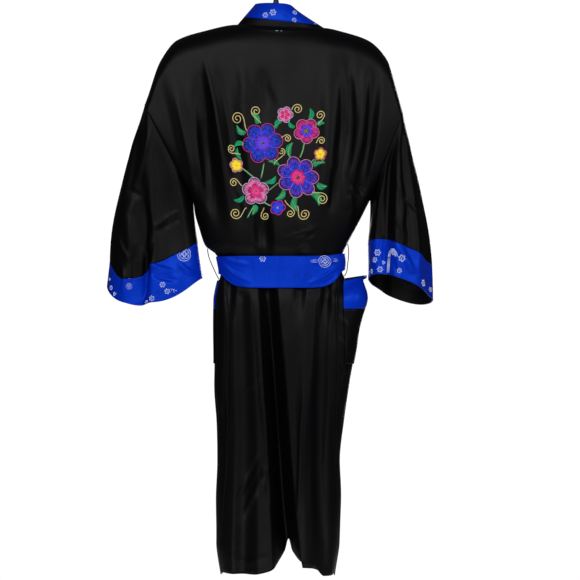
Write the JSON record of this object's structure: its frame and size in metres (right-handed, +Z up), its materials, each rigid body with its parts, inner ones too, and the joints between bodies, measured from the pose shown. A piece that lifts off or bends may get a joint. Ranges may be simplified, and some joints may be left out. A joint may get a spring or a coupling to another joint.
{
  "type": "reversible kimono robe on a plain clothes hanger",
  "caption": "Satin kimono robe with brocade collar, cuffs, pockets and a belt tied at the waist, hung on a plain hanger with its hook.",
  "frame": {"origin": "the inner top of the hanger's hook, where it rests on a rod or a wall hook", "axes": "+Z up; the robe's back faces -Y and its fronts +Y; +X is to the right as seen from behind, the wearer's right side"},
  "size_m": [0.701, 0.1691, 1.2966],
  "materials": {
    "satin": "black satin with a soft sheen",
    "brocade": "royal blue brocade satin",
    "thread": "matt crocheted thread",
    "plastic": "moulded black plastic"
  },
  "bodies": {
    "root": {"back": "satin", "front_left": "satin", "front_right": "satin", "front_band_left": "brocade", "front_band_right": "brocade", "sleeve_left": "satin", "sleeve_right": "satin", "cuff_left": "brocade", "cuff_right": "brocade", "pocket_left": "satin", "pocket_right": "satin", "pocket_band_left": "brocade", "pocket_band_right": "brocade", "collar": "brocade", "collar_stand": "satin", "belt": "brocade", "belt_knot": "brocade", "belt_end_left": "brocade", "belt_end_right": "brocade", "belt_loop_left": "thread", "belt_loop_right": "thread", "hanger_arms": "plastic", "hanger_hook": "plastic"}
  },
  "joints": []
}
